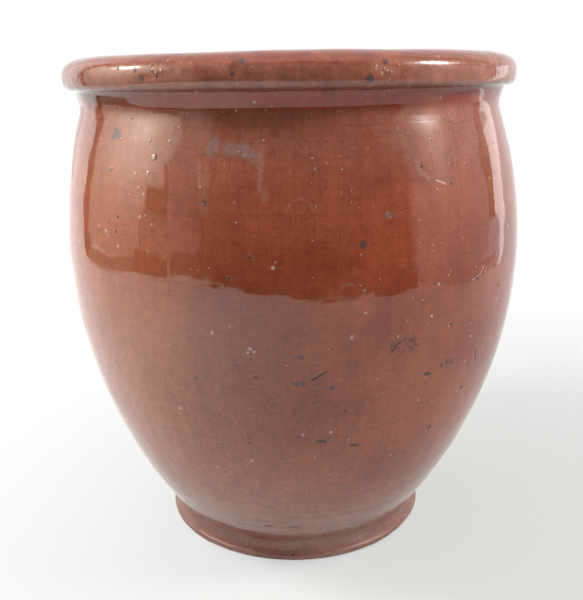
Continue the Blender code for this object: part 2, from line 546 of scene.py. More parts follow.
def foot_outline(depth):
    """From the groove's upper edge down to the line where the glaze was wiped off the foot."""
    start = point(wall_radius(GROOVE_HEIGHT) - depth, GROOVE_HEIGHT)
    drop = (GROOVE_HEIGHT - FOOT_TOP) / 2
    corner = point(start.x - wall_slope(GROOVE_HEIGHT) * drop, GROOVE_HEIGHT - drop)
    foot_top = point(FOOT_RADIUS - FOOT_ROUND - depth, FOOT_TOP)
    round_centre = point(FOOT_RADIUS - FOOT_ROUND - depth, FOOT_TOP - FOOT_ROUND)
    edge = arc(round_centre, FOOT_ROUND, FOOT_ROUND, 90, 0, 2)
    return bend(start, corner, foot_top, 5) + edge[1:] + [point(FOOT_RADIUS - depth, GLAZE_LINE)]


def outside_outline(depth):
    """The whole outside, this deep under the glazed face."""
    shoulder = wall(SHOULDER_HEIGHT, BELLY_HEIGHT, SHOULDER_STEPS, depth)
    lower = wall(BELLY_HEIGHT, GROOVE_HEIGHT, LOWER_STEPS, depth)
    wall_points = shoulder[1:] + lower[1:]
    return bead_outline(depth) + cove_outline(depth) + wall_points + foot_outline(depth)[1:]


# %% Turn an outline into a surface
SEED_SIZE = 0.001 * MM
MERGE_DISTANCE = 0.01 * MM
OUTSIDE_SPOKES = 90
INSIDE_SPOKES = 72
CLAY_SPOKES = 180
ROUNDING = 2
FINER = 2 ** ROUNDING


def spin_outline(name, outline, spokes, inwards=False):
    """Extrude a vertex along the outline, then spin the line once round the axis of the wheel."""
    deselect_all()
    bpy.ops.mesh.primitive_plane_add(size=SEED_SIZE, location=outline[0])
    piece = bpy.context.object
    piece.name = name
    bpy.ops.object.transform_apply(location=True)
    bpy.ops.object.mode_set(mode="EDIT")
    bpy.ops.mesh.select_mode(type="VERT")
    bpy.ops.mesh.merge(type="CENTER")
    for start, end in zip(outline, outline[1:]):
        bpy.ops.mesh.extrude_region_move(TRANSFORM_OT_translate={"value": end - start})
    bpy.ops.mesh.select_all(action="SELECT")
    bpy.ops.mesh.spin(steps=spokes, angle=2 * math.pi, center=(0, 0, 0), axis=(0, 0, 1))
    bpy.ops.mesh.select_all(action="SELECT")
    bpy.ops.mesh.remove_doubles(threshold=MERGE_DISTANCE)
    bpy.ops.mesh.normals_make_consistent(inside=inwards)
    bpy.ops.object.mode_set(mode="OBJECT")
    bpy.ops.object.shade_smooth()
    return piece


def round_off(piece):
    """Round a coarse cage into a smooth surface."""
    return apply_modifier(piece, "SUBSURF", "round", levels=ROUNDING, render_levels=ROUNDING)


# %% Close a coat
FACE_GROUP = "face"


def bridge_rims(middle_height):
    """Join the two open rims above this height by a ring of faces."""
    bpy.ops.mesh.select_mode(type="EDGE")
    bpy.ops.mesh.select_all(action="DESELECT")
    bpy.ops.mesh.select_non_manifold()
    bpy.ops.object.mode_set(mode="OBJECT")
    mesh = bpy.context.object.data
    for edge in mesh.edges:
        edge.select = edge.select and mesh.vertices[edge.vertices[0]].co.z > middle_height
    bpy.ops.object.mode_set(mode="EDIT")
    bpy.ops.mesh.bridge_edge_loops()


def close_coat(face, back, middle_heights):
    """One closed skin from its face to the air and its plainer back, which lies on the clay."""
    group = face.vertex_groups.new(name=FACE_GROUP)
    group.add(range(len(face.data.vertices)), 1.0, "REPLACE")
    pick(face)
    back.select_set(True)
    bpy.ops.object.join()
    bpy.ops.object.mode_set(mode="EDIT")
    for middle_height in middle_heights:
        bridge_rims(middle_height)
    bpy.ops.object.mode_set(mode="OBJECT")
    bpy.ops.object.shade_smooth()
    return face


# %% Outside coat
outside = round_off(spin_outline("outside_glaze_coat", outside_outline(0), OUTSIDE_SPOKES))
back_outline = outside_outline(COAT_BACK)[::2]
outside_back = spin_outline("outside_back", back_outline, OUTSIDE_SPOKES * FINER, inwards=True)
close_coat(outside, outside_back, (POT_HEIGHT / 2, -MM))
print("Outside coat has", len(outside.data.polygons), "faces")

# %% [markdown]
# ## The inside
#
# Nobody smoothed the inside, so the potter's fingers left rings up the wall and a flat spiral in the
# floor. They could be a bump in the material, but rings catch the light from the mouth as real ridges,
# so here the outline itself ripples.

# %% Outline of the inside
WALL_THICKNESS = 7.0 * MM
FLOOR_HEIGHT = 9.8 * MM
FLOOR_CORNER = 13.0 * MM
LIP_RADIUS = CROWN_RADIUS - LIP_REACH
COAT_SEAM = 0.05 * MM
RING_PITCH = 12.0 * MM
RING_DEPTH = 0.35 * MM
RING_SHARPNESS = 1.6
INNER_STEPS = 44
FLOOR_STEPS = 12
POLE_RADIUS = 1.5 * MM


def ring(distance):
    """How far a finger ridge stands proud at this distance along the surface."""
    wave = 0.5 + 0.5 * math.cos(2 * math.pi * distance / RING_PITCH)
    return RING_DEPTH * wave ** RING_SHARPNESS


def inner_wall_radius(height, depth):
    """Radius of the glazed inner wall with its finger ridges, this deep under its face."""
    return wall_radius(height) - WALL_THICKNESS - 2 * CLAY_DEPTH - ring(height) + depth


def inside_outline(depth):
    """From the lip down the inner wall, round the corner and over the floor to the axis."""
    lip = point(LIP_RADIUS + depth, LIP_HEIGHT - COAT_SEAM)
    end_height = FLOOR_HEIGHT + FLOOR_CORNER
    heights = steps_between(NECK_HEIGHT, end_height, INNER_STEPS)
    inner = [point(inner_wall_radius(height, depth), height) for height in heights]
    top_corner = point(inner[0].x + MM / 2, (LIP_HEIGHT + NECK_HEIGHT) / 2)
    neck = bend(lip, top_corner, inner[0], 5)
    corner = point(inner[-1].x - wall_slope(end_height) * FLOOR_CORNER, FLOOR_HEIGHT - depth)
    floor_edge = point(corner.x - FLOOR_CORNER, FLOOR_HEIGHT - depth)
    turn = bend(inner[-1], corner, floor_edge, 6)
    floor_part = []
    for radius in steps_between(floor_edge.x, POLE_RADIUS, FLOOR_STEPS)[1:]:
        floor_part.append(point(radius, FLOOR_HEIGHT - depth + ring(floor_edge.x - radius) / 2))
    floor_part.append(point(0, floor_part[-1].z))
    return neck + inner[1:] + turn[1:] + floor_part


inside = round_off(spin_outline("inside_glaze_coat", inside_outline(0), INSIDE_SPOKES, inwards=True))
inside_back = spin_outline("inside_back", inside_outline(COAT_BACK)[::2], INSIDE_SPOKES * FINER)
close_coat(inside, inside_back, (-MM,))
print("Inside coat has", len(inside.data.polygons), "faces")

# %% [markdown]
# ## The clay
#
# Under the coats the pot is one lump of fired clay. Only its foot and its underside show. The underside
# was cut off the wheel with a twisted wire, and its edge was pared with a knife.

# %% Clay pot
FOOT_BEVEL = 0.8 * MM
FOOT_SUPPORT = 0.25 * MM
UNDERSIDE_STEPS = 12


def clay_outline():
    """Up the inside from the floor's middle, over the lip, down the outside and in under the foot."""
    inner = inside_outline(CLAY_DEPTH)[::-1]
    outer = outside_outline(CLAY_DEPTH)[:-1]
    radius = FOOT_RADIUS - CLAY_DEPTH + COAT_BACK / 2
    shoulder = point(FOOT_RADIUS - CLAY_DEPTH, GLAZE_LINE + FOOT_SUPPORT)
    bevel = [point(radius, GLAZE_LINE), point(radius, FOOT_BEVEL)]
    under = [point(across, 0) for across in steps_between(radius - FOOT_BEVEL, 0, UNDERSIDE_STEPS)]
    return inner + outer + [shoulder] + bevel + under


clay = spin_outline("clay_pot", clay_outline(), CLAY_SPOKES)
print("Clay pot has", len(clay.data.polygons), "faces")

# %% [markdown]
# ## The potter's hand
#
# No thrown pot is quite round. A Lattice round all three pieces pulls them out of true together, so that
# the coats stay on the clay. Finer waves belong to the glaze alone: they are what makes the edges of the
# reflections wander, so they are real shape, made by Displace modifiers on the face of the coat.

# %% Out of true
LATTICE_MARGIN = 1.05
LATTICE_LAYERS = 6
RIM_SHIFT = -0.7 * MM
FOOT_SHIFT = -0.9 * MM
RIM_SADDLE = 1.1 * MM
LEFT_BULGE = 1.6 * MM


def add_lattice():
    """A lattice round the pot: three points across, three deep, and six layers."""
    deselect_all()
    bpy.ops.object.add(type="LATTICE", location=POT_MIDDLE)
    lattice = bpy.context.object
    lattice.data.points_u = 3
    lattice.data.points_v = 3
    lattice.data.points_w = LATTICE_LAYERS
    lattice.scale = (cad_high - cad_low) * LATTICE_MARGIN
    return lattice


def pull_lattice(lattice):
    """Shift the rim and the foot to the left, lift the rim's two ends and swell the lower left."""
    size = lattice.scale
    for number, knot in enumerate(lattice.data.points):
        layer = number // 9
        side = number % 3 - 1
        depth = number // 3 % 3 - 1
        move = Vector((0, 0, 0))
        if layer >= LATTICE_LAYERS - 2:
            move.x = RIM_SHIFT
        if layer == LATTICE_LAYERS - 1:
            move.z = RIM_SADDLE * (abs(side) - abs(depth))
        if layer == 0:
            move.x = FOOT_SHIFT
        if layer == 1 and side < 0:
            move.x = -LEFT_BULGE
        knot.co_deform = knot.co_deform + Vector([part / scale for part, scale in zip(move, size)])


lattice = add_lattice()
pull_lattice(lattice)
for piece in (outside, inside, clay):
    apply_modifier(piece, "LATTICE", "out_of_true", object=lattice)
bpy.data.objects.remove(lattice)
print("Pulled", [piece.name for piece in (outside, inside, clay)])

# %% Waves in the glaze
WAVES = [("slow", 46 * MM, 0.55 * MM), ("middle", 17 * MM, 0.26 * MM), ("quick", 7 * MM, 0.12 * MM)]
RIDGE_STRETCH = (70 * MM, 70 * MM, 9 * MM)
RIDGE_HEIGHT = 0.10 * MM
UNIT_NOISE = 1.0


def clouds(name, size):
    """A Clouds texture with features of this size."""
    texture = bpy.data.textures.new(name, "CLOUDS")
    texture.noise_scale = size
    texture.noise_depth = 1
    return texture


def displace(piece, name, size, height, group=FACE_GROUP, **settings):
    """Push a group of points in and out by soft noise of this size."""
    settings.update(texture=clouds(name, size), strength=height, vertex_group=group)
    return apply_modifier(piece, "DISPLACE", name, **settings)


def ridges(piece, stretch, height):
    """Low level ridges that run round the pot, from noise stretched by a scaled empty."""
    deselect_all()
    bpy.ops.object.empty_add()
    guide = bpy.context.object
    guide.scale = stretch
    bpy.context.view_layer.update()
    settings = {"texture_coords": "OBJECT", "texture_coords_object": guide}
    displace(piece, "ridges", UNIT_NOISE, height, **settings)
    bpy.data.objects.remove(guide)


for wave in WAVES:
    displace(outside, *wave)
ridges(outside, RIDGE_STRETCH, RIDGE_HEIGHT)
for wave in WAVES[1:]:
    displace(inside, *wave)
print("Waves up to", WAVES[0][2] / MM, "mm")

# %% The glaze line
GLAZE_LINE_GROUP = "glaze_line"
GLAZE_LINE_BAND = 0.6 * MM
GLAZE_LINE_WAVE = 1.0 * MM
GLAZE_LINE_SIZE = 7 * MM


def wander_glaze_line(piece):
    """Let the coat's lower edge rise and fall, because the glaze was wiped off the foot by hand."""
    limit = GLAZE_LINE + GLAZE_LINE_BAND
    group = piece.vertex_groups.new(name=GLAZE_LINE_GROUP)
    low = [vertex.index for vertex in piece.data.vertices if vertex.co.z < limit]
    group.add(low, 1.0, "REPLACE")
    size, height = GLAZE_LINE_SIZE, GLAZE_LINE_WAVE
    return displace(piece, "glaze_line", size, height, GLAZE_LINE_GROUP, direction="Z")


wander_glaze_line(outside)
print("Glaze line wanders by", GLAZE_LINE_WAVE / MM, "mm")

# %% [markdown]
# ## Patterns for the glaze
#
# A clear lead glaze over red clay has one colour and many small faults: mottling, streaks where it ran,
# specks of iron, bubbles, pits and a net of fine cracks. Each is a short function that adds its nodes
# and gives back a number from 0 to 1, so the glaze itself reads as a list of what is in it. The sizes
# of the patterns and the bands in which they lie are in millimetres.

# %% Colour
MIX_SOCKETS = (0, 6, 7)
MIX_RESULT = 2


def lay(colour, over, *shares):
    """The colour with another laid over it, by all these shares multiplied."""
    node = put("ShaderNodeMix", {"data_type": "RGBA"})
    for socket, value in zip(MIX_SOCKETS, (product(*shares), colour, over)):
        set_socket(node.inputs[socket], value)
    return node.outputs[MIX_RESULT]


def lighten(colour, share, amount):
    """The colour, lighter by this amount where the share is 1, or darker by a negative amount."""
    return vector_math("SCALE", colour, scaled(share, amount, 1.0))


def shade(colour, value, depth):
    """The colour, made lighter and darker by a value around a half."""
    return vector_math("SCALE", colour, scaled(value, depth, 1 - depth / 2))


# %% Noise
def rise(value, band):
    """0 up to the band's first limit and 1 from its second."""
    return between(value, band[0] * MM, band[1] * MM)


def noise(place, size, detail=2.0):
    """Soft noise from 0 to 1 with features of this size."""
    sockets = {"Vector": place, "Scale": 1 / (size * MM), "Detail": detail}
    return put("ShaderNodeTexNoise", **sockets).outputs["Fac"]


def patches(place, size, low, high, detail=2.0):
    """Soft patches: noise that is cut off below and above."""
    return between(noise(place, size, detail), low, high)


def stretched(place, across, upright):
    """Noise whose features are this wide round the pot and this tall."""
    squeeze = (1 / across, 1 / across, 1 / upright)
    return noise(vector_math("MULTIPLY", place, squeeze), 1)


def streaked(colour, wheel, streaks):
    """The colour with streaks, each given by its width, its height and its strength."""
    for width, height, strength in streaks:
        colour = shade(colour, stretched(wheel, width, height), strength)
    return colour


def warped(place, size, reach):
    """The place, moved about by soft noise, so that what is drawn there has wandering edges."""
    drift = put("ShaderNodeTexNoise", Vector=place, Scale=1 / (size * MM)).outputs["Color"]
    drift = vector_math("SUBTRACT", drift, (0.5, 0.5, 0.5))
    return vector_math("ADD", place, vector_math("SCALE", drift, 2 * reach * MM))


def wheel_place(place):
    """The place pushed out or in to one radius, so that streaks keep their width at any height."""
    flat = vector_math("NORMALIZE", vector_math("MULTIPLY", place, (1, 1, 0)))
    upright = vector_math("MULTIPLY", place, (0, 0, 1))
    return vector_math("ADD", vector_math("SCALE", flat, BELLY_RADIUS), upright)


# %% Specks and cracks
SPECK_EDGE = 0.25
SPECK_RIM = 0.5
CRACK_DRIFT = (14, 2.2)
CRACK_WIDTH = 0.14
CRACK_SOFTNESS = 0.6
CRACK_OFFSET = 0.37
NET_SPACING = 9.5
NET_WIDTH = 0.014


def speck_depth(place, spacing, radius, rarity):
    """How deep inside a speck, as a share of the radius. A high rarity makes most specks tiny."""
    cells = put("ShaderNodeTexVoronoi", Vector=place, Scale=1 / (spacing * MM))
    chance = put("ShaderNodeSeparateColor", Color=cells.outputs["Color"]).outputs["Red"]
    distance = product(cells.outputs["Distance"], spacing / radius)
    return calculate("SUBTRACT", calculate("POWER", chance, rarity), distance)


def specks(place, *sizes):
    """Round specks, given by their spacing, greatest radius and rarity."""
    return between(speck_depth(place, *sizes), 0, SPECK_EDGE)


def speck_rims(place, *sizes):
    """The rims of such specks."""
    return between(calculate("ABSOLUTE", speck_depth(place, *sizes)), SPECK_RIM, 0)


def cracks(place, cells_round, row_height):
    """Long level and short upright cracks, laid like bricks round the pot and pushed out of line."""
    across, depth, height = parts_of(warped(place, *CRACK_DRIFT))
    turn = calculate("ARCTAN2", across, product(depth, -1))
    cells = product(turn, cells_round / (2 * math.pi))
    rows = calculate("DIVIDE", height, row_height * MM)
    flat = put("ShaderNodeCombineXYZ", X=cells, Y=rows).outputs[0]
    sockets = {"Vector": flat, "Scale": 1.0, "Brick_Width": 1.0, "Row_Height": 1.0}
    sockets.update(Mortar_Size=CRACK_WIDTH / row_height, Mortar_Smooth=CRACK_SOFTNESS)
    return put("ShaderNodeTexBrick", {"offset": CRACK_OFFSET}, **sockets).outputs["Fac"]


def crack_net(place):
    """Finer cracks that close into small fields."""
    options = {"feature": "DISTANCE_TO_EDGE"}
    cells = put("ShaderNodeTexVoronoi", options, Vector=place, Scale=1 / (NET_SPACING * MM))
    return between(cells.outputs["Distance"], NET_WIDTH, 0)


# %% [markdown]
# ## Marks in their places
#
# The larger faults sit where the photograph shows them, and so do some painted glints. Each is named by
# its pixel, and a ray from the camera through that pixel finds its place on the glaze. A mark is a dot or
# a stroke from one pixel to the next, and noise roughens its edge.

# %% Places on the glaze
glaze_tree = BVHTree.FromObject(outside, bpy.context.evaluated_depsgraph_get())


def on_glaze(pixel):
    """Where the camera's ray through a pixel meets the outside of the pot, and the direction outwards."""
    return glaze_tree.ray_cast(camera.location, sight_line(camera, pixel))[:2]


def dot_distance(place, pixel):
    """How far each point of the glaze lies from a pixel's place."""
    return vector_math("DISTANCE", place, on_glaze(pixel)[0])


def stroke_distance(place, first, second):
    """How far each point of the glaze lies from the line between two pixels' places."""
    start = on_glaze(first)[0]
    along = on_glaze(second)[0] - start
    offset = vector_math("SUBTRACT", place, start)
    share = vector_math("DOT_PRODUCT", offset, along / along.length_squared)
    share = put("ShaderNodeClamp", Value=share).outputs[0]
    nearest = put("ShaderNodeCombineXYZ", X=share, Y=share, Z=share).outputs[0]
    return vector_math("DISTANCE", offset, vector_math("MULTIPLY", nearest, along))


def marks(place, drawn, softness):
    """All the marks of a list. Each is its width in pixels, then the pixels that it passes through."""
    result = 0.0
    for width, *numbers in drawn:
        pixels = list(zip(numbers[::2], numbers[1::2]))
        half = width * PIXEL / 2
        for stroke in list(zip(pixels, pixels[1:])) or [pixels]:
            measure = dot_distance if len(stroke) == 1 else stroke_distance
            distance = measure(place, *stroke)
            result = most(between(distance, half * (1 + softness), half * (1 - softness)), result)
    return result


print("Middle of the picture is at", [round(part / MM, 1) for part in on_glaze((291, 300))[0]], "mm")

# %% Marks of the photograph
IRON_MARKS = [
    (4.5, 142, 79), (5, 241, 61), (3.5, 232, 74), (6.5, 370, 79), (4, 385, 61), (3, 134, 71),
    (5, 116, 130, 119, 137), (4, 113, 137, 120, 131), (3, 111, 170), (6, 363, 245), (5, 301, 357),
    (4, 204, 203), (5, 296, 384), (4, 303, 384), (4, 332, 388), (3.5, 196, 378), (3, 502, 289, 502, 295),
]
SMEAR_MARKS = [
    (9, 214, 143, 211, 151), (10, 229, 149, 240, 149, 247, 152), (8, 247, 151, 254, 157), (6, 389, 215),
]
PIT_MARKS = [
    (3, 318, 441, 325, 441), (3, 351, 445, 357, 445), (4, 429, 427), (4, 461, 387),
    (3, 424, 374, 429, 374), (2, 312, 380, 326, 372), (2, 266, 526, 273, 526), (2, 289, 527, 298, 527),
    (3, 293, 555), (2, 475, 350, 475, 361), (3, 250, 257), (3, 230, 278), (3, 446, 362), (2.5, 345, 411),
    (2.5, 256, 377), (2.5, 116, 232), (2.5, 118, 217), (1.5, 474, 277, 478, 279), (2.5, 484, 334),
    (2.5, 451, 184), (2.5, 421, 166), (2.5, 389, 215), (2, 152, 72, 158, 77), (2, 135, 71),
    (2.5, 250, 443), (2, 332, 387), (2.5, 404, 452), (2, 364, 463), (3, 451, 324), (3, 498, 285),
    (2, 421, 281),
]
NETWORK_MARKS = [(15, 397, 348, 411, 343), (9, 443, 364, 450, 361)]
# Cream marks. The small ones on the lower right, beside pits, are painted glints.
CREAM_MARKS = [
    (3, 273, 268), (3, 303, 435), (3, 331, 432), (3, 180, 408), (3, 252, 461), (3, 106, 231),
    (2.5, 99, 226), (3, 250, 349), (2.5, 254, 352), (2, 248, 353), (3, 508, 226), (2.5, 118, 246),
    (3, 212, 333), (2.5, 371, 496), (2.5, 218, 467), (4.5, 154, 157), (3.5, 148, 173), (3, 150, 140),
    (2.5, 170, 141), (2.5, 121, 139), (2.5, 140, 217), (2, 144, 215), (2, 138, 187), (2, 143, 194),
    (2, 112, 168), (1, 484, 266, 480, 274, 472, 280), (1, 487, 267, 485, 272), (1, 436, 180, 446, 184),
    (1.5, 437, 189), (2, 152, 68), (2, 161, 70), (2, 376, 68), (2, 388, 70), (2, 382, 73),
    (1.5, 449, 326), (1.5, 457, 391), (1.5, 426, 431), (2, 465, 361), (2, 418, 400), (2.5, 352, 338),
    (2, 365, 313), (2.5, 439, 284),
]
PALE_STROKES = [
    (4, 214, 68, 226, 68), (5, 376, 66, 398, 72), (3, 199, 164, 200, 188), (4, 207, 168, 207, 186),
    (5, 261, 152, 260, 190), (4, 204, 176, 203, 198), (2, 340, 289, 346, 284, 353, 285),
    (6, 203, 196, 204, 212), (5, 264, 190, 264, 200),
    (1.5, 286, 213, 290, 203, 300, 199, 311, 203, 314, 213), (2, 349, 338, 353, 335, 357, 338),
    (4, 98, 172, 98, 190), (4, 416, 160, 420, 172, 428, 178),
]
TAN_STROKES = [(22, 434, 104, 434, 152), (16, 440, 176, 440, 192)]

# %% [markdown]
# ## The outside glaze
#
# The colour is built up from the clay's red outwards: mottling and run streaks, a paler colour of worn
# glaze near the foot that also stands in for light from the floor, painted sheen on the shoulder and bead,
# painted light on the bead, the lower half and the lower left, painted shade on the crown, in the crease
# and in the groove, then cracks, specks and the placed marks, some of which are painted glints. The same
# masks drive the roughness and, for pits and cracks, the bump.

# %% Glaze colours
GLAZE_DEEP = (0.235, 0.046, 0.021, 1)
GLAZE_ORANGE = (0.31, 0.072, 0.033, 1)
GLAZE_TAN = (0.39, 0.120, 0.054, 1)
GLAZE_COVE = (0.32, 0.028, 0.010, 1)
LOW_LEFT_PAINTED_LIGHT = (0.46, 0.21, 0.13, 1)
# Pale colour of worn glaze, which also paints in light from the floor.
WORN_AND_FLOOR_LIT = (0.44, 0.315, 0.265, 1)
# A pale colour, for the pale strokes and for the painted sheen.
PALE_GLAZE_AND_SHEEN = (0.42, 0.24, 0.18, 1)
# Colour of the painted shade in the groove above the foot.
GROOVE_SHADE_COLOUR = (0.12, 0.036, 0.022, 1)
# Dark colour of the cracks, also used for the painted shade in the crease.
CRACK_AND_SHADE_COLOUR = (0.10, 0.026, 0.015, 1)
IRON_COLOUR = (0.050, 0.056, 0.070, 1)
SMEAR_COLOUR = (0.24, 0.20, 0.20, 1)
# Dark colour of the pits, also used for the painted dark rims of the glint specks.
PIT_AND_RIM_SHADE_COLOUR = (0.035, 0.014, 0.010, 1)
CREAM_COLOUR = (0.62, 0.47, 0.37, 1)

# %% Bands of the glaze, across the picture or up the pot, and the strength of what lies in them
TAN_SIDE = (-14, -62)
TAN_FOOT = (25, 70)
TAN_TOP = (172, 150)
TAN_STRENGTH = 0.80
LOW_SIDE = (14, -24)
LOW_EDGE = (-78, -50)
LOW_TOP = (122, 100)
LOW_FOOT = (12, 30)
LOW_LEFT_LIGHT_STRENGTH = 0.28
UPPER_WALL = (128, 158)
UPPER_PAINTED_SHEEN = 0.10
SHOULDER = (148, 164)
SHOULDER_PAINTED_SHEEN = 0.12
BELOW_COVE = (175, 171)
BEAD = (174, 178)
BEAD_PAINTED_SHEEN = 0.26
BEAD_MOTTLING = 0.9
BEAD_PAINTED_LIGHT = 0.10
BEAD_LEFT_END = (-35, -75)
CROWN = (184.5, 188.5)
CROWN_PAINTED_SHADE = -0.27
COVE_FOOT = (172, 174.5)
COVE_TOP = (179, 177)
COVE_MIDDLE = (-62, -34)
COVE_STRENGTH = 0.8
LOWER_HALF = (100, 40)
PAINTED_FLOOR_LIGHT = 0.12
STREAKS = [(1.7, 34, 0.24), (60, 1.3, 0.16), (7, 16, 0.36)]


# %% Body colour of the glaze
def painted_sheen_share(place, height, bead, crown):
    """Painted sheen on the shoulder and on the bead below its crown, in patches."""
    wall = scaled(rise(height, UPPER_WALL), UPPER_PAINTED_SHEEN, product(rise(height, SHOULDER), SHOULDER_PAINTED_SHEEN))
    painted_sheen = scaled(bead, BEAD_PAINTED_SHEEN, product(wall, rise(height, BELOW_COVE)))
    return product(painted_sheen, calculate("SUBTRACT", 1.0, crown), scaled(noise(place, 9), 1.2, 0.4))


def body_colour(place, wheel):
    """Mottled red-brown with run streaks, more tan on the left of the belly. Painted sheen, painted light
    on the bead, the lower half and the lower left, and painted shade on the crown are laid in as colour.
    """
    across, depth, height = parts_of(place)
    bead = rise(height, BEAD)
    crown = rise(height, CROWN)
    colour = lay(GLAZE_DEEP, GLAZE_ORANGE, patches(place, 34, 0.36, 0.66, 4))
    tan = product(rise(across, TAN_SIDE), rise(height, TAN_FOOT), rise(height, TAN_TOP))
    colour = lay(colour, GLAZE_TAN, tan, TAN_STRENGTH)
    # Painted light: a paler patch on the lower left of the belly.
    low = product(rise(across, LOW_SIDE), rise(across, LOW_EDGE), rise(height, LOW_TOP))
    colour = lay(colour, LOW_LEFT_PAINTED_LIGHT, low, rise(height, LOW_FOOT), LOW_LEFT_LIGHT_STRENGTH)
    # Painted sheen: a pale colour laid over the shoulder and the bead.
    colour = lay(colour, PALE_GLAZE_AND_SHEEN, painted_sheen_share(place, height, bead, crown))
    cove = product(rise(height, COVE_FOOT), rise(height, COVE_TOP), rise(across, COVE_MIDDLE))
    colour = lay(colour, GLAZE_COVE, cove, COVE_STRENGTH)
    colour = streaked(colour, wheel, STREAKS)
    # Painted light: the lower half is made lighter, as if lit from the floor.
    colour = lighten(colour, rise(height, LOWER_HALF), PAINTED_FLOOR_LIGHT)
    mottled = calculate("SUBTRACT", noise(place, 3, 4), 0.5)
    colour = lighten(colour, product(mottled, bead), BEAD_MOTTLING)
    # Painted light: the bead is made lighter.
    colour = lighten(colour, bead, BEAD_PAINTED_LIGHT)
    # Painted shade: the crown is made darker, and the bead's left end with it.
    left_end = product(bead, rise(across, BEAD_LEFT_END))
    return lighten(colour, most(crown, left_end), CROWN_PAINTED_SHADE)


# %% Wear, painted light and shade, and grain
CREASE_SHADE_BAND = (1.6, 0.1)
CREASE_SHADE_STRENGTH = 0.55
GROOVE = (9.0, 7.4)
GROOVE_SIDES = (10, 42)
WORN_AND_LIT_WALL = (64, 6)
WORN_AND_LIT_CURVE = 1.3
WORN_AND_LIT_LINES = (50, 1.1)
WORN_AND_LIT_STRENGTH = 0.95
GRAINS = [(3.4, 3, 0.46), (0.9, 1, 0.48)]
LOW_GRAIN_SIZE = 1.5
LOW_GRAIN_WALL = (120, 70)
LOW_GRAIN = 0.62


def painted_crease_shade(height):
    """Painted shade: the crease under the bead is darkened in the colour."""
    return rise(calculate("ABSOLUTE", calculate("SUBTRACT", height, CREASE_HEIGHT)), CREASE_SHADE_BAND)


def groove_painted_shade(place, across, height):
    """Painted shade in the groove above the foot and down its face, heaviest towards the sides, in
    patches.
    """
    side = scaled(rise(calculate("ABSOLUTE", across), GROOVE_SIDES), 0.36, 0.10)
    shade_patches = scaled(patches(place, 3, 0.2, 0.7), 0.5, 0.6)
    return product(rise(height, GROOVE), side, shade_patches)


def worn_and_lit_share(place, wheel, height):
    """Worn glaze near the foot, drawn out into level lines by the wheel, with light from the floor painted
    into its pale colour.
    """
    low = calculate("POWER", rise(height, WORN_AND_LIT_WALL), WORN_AND_LIT_CURVE)
    lines = scaled(between(stretched(wheel, *WORN_AND_LIT_LINES), 0.2, 0.7), 0.5, 0.25)
    return product(low, lines, scaled(patches(place, 22, 0.2, 0.7), 0.5, 0.5), WORN_AND_LIT_STRENGTH)


def worn_and_shaded_colour(colour, place, worn_and_lit):
    """The colour with painted shade in the crease and the groove, its wear with painted floor light, and
    its grain.
    """
    across, depth, height = parts_of(place)
    # Painted shade: a dark band in the crease under the bead.
    colour = lay(colour, CRACK_AND_SHADE_COLOUR, painted_crease_shade(height), CREASE_SHADE_STRENGTH)
    # Worn glaze, whose pale colour also paints in light from the floor.
    colour = lay(colour, WORN_AND_FLOOR_LIT, worn_and_lit)
    # Painted shade in the groove and on the foot, darkest at the sides.
    colour = lay(colour, GROOVE_SHADE_COLOUR, groove_painted_shade(place, across, height))
    for size, detail, strength in GRAINS:
        colour = shade(colour, noise(place, size, detail), strength)
    grain = calculate("SUBTRACT", noise(place, LOW_GRAIN_SIZE, 3), 0.5)
    return lighten(colour, product(grain, rise(height, LOW_GRAIN_WALL)), LOW_GRAIN)


# %% Cracks and pits
CRACK_SIDE = (-45, 15)
PAINTED_GLINT_SHIFT = (0.22 * MM, 0, -0.20 * MM)
PIT_SPECKS = (3.6, 0.55, 2.2)


def crack_lines(place, rough_place):
    """Bold cracks, strongest on the right, with a finer grid and a faint net, all broken up."""
    strength = scaled(rise(parts_of(place)[0], CRACK_SIDE), 0.50, 0.20)
    bold = product(cracks(place, 66, 8.4), patches(place, 26, 0.40, 0.60), strength)
    fine = product(cracks(rough_place, 124, 4.3), patches(place, 17, 0.38, 0.62), 0.38)
    net = product(crack_net(rough_place), patches(place, 19, 0.48, 0.66), 0.4)
    return most(bold, fine, net)


def pit_masks(rough_place):
    """Pits, with the rough patches of burst bubbles, and a painted glint on one side of each."""
    beside = vector_math("ADD", rough_place, PAINTED_GLINT_SHIFT)
    network = marks(rough_place, NETWORK_MARKS, 0.5)
    network = product(network, patches(rough_place, 1.1, 0.50, 0.58), 0.8)
    small = product(specks(rough_place, *PIT_SPECKS), 0.7)
    pits = most(marks(rough_place, PIT_MARKS, 0.3), network, small)
    # Painted glint: a pale crescent on one side of each pit.
    painted_glints = most(specks(beside, *PIT_SPECKS), product(marks(beside, PIT_MARKS, 0.3), 0.6))
    return pits, calculate("SUBTRACT", painted_glints, pits)


# %% Marks and specks in the colour
IRON_SPECKS = (12, 1.6, 3)
IRON_BACK = (-30, -10)
CREAM_SPECKS = (5.5, 0.60, 2.4)
PAINTED_GLINT_SPECKS = (2.9, 0.42, 2.2)


def marked_colour(colour, place, rough_place, lines):
    """The colour with its strokes, cracks, smears and iron spots, the scattered ones on the back."""
    speckle = patches(place, 1.1, 0.18, 0.66, 3)
    colour = lay(colour, GLAZE_TAN, marks(place, TAN_STROKES, 0.9), 0.4)
    colour = lay(colour, PALE_GLAZE_AND_SHEEN, marks(rough_place, PALE_STROKES, 0.9), speckle, 0.36)
    colour = lay(colour, CRACK_AND_SHADE_COLOUR, lines, 0.75)
    colour = lay(colour, SMEAR_COLOUR, marks(rough_place, SMEAR_MARKS, 0.35), speckle, 0.60)
    scattered = product(specks(rough_place, *IRON_SPECKS), rise(parts_of(place)[1], IRON_BACK))
    return lay(colour, IRON_COLOUR, most(marks(rough_place, IRON_MARKS, 0.35), scattered), 0.72)


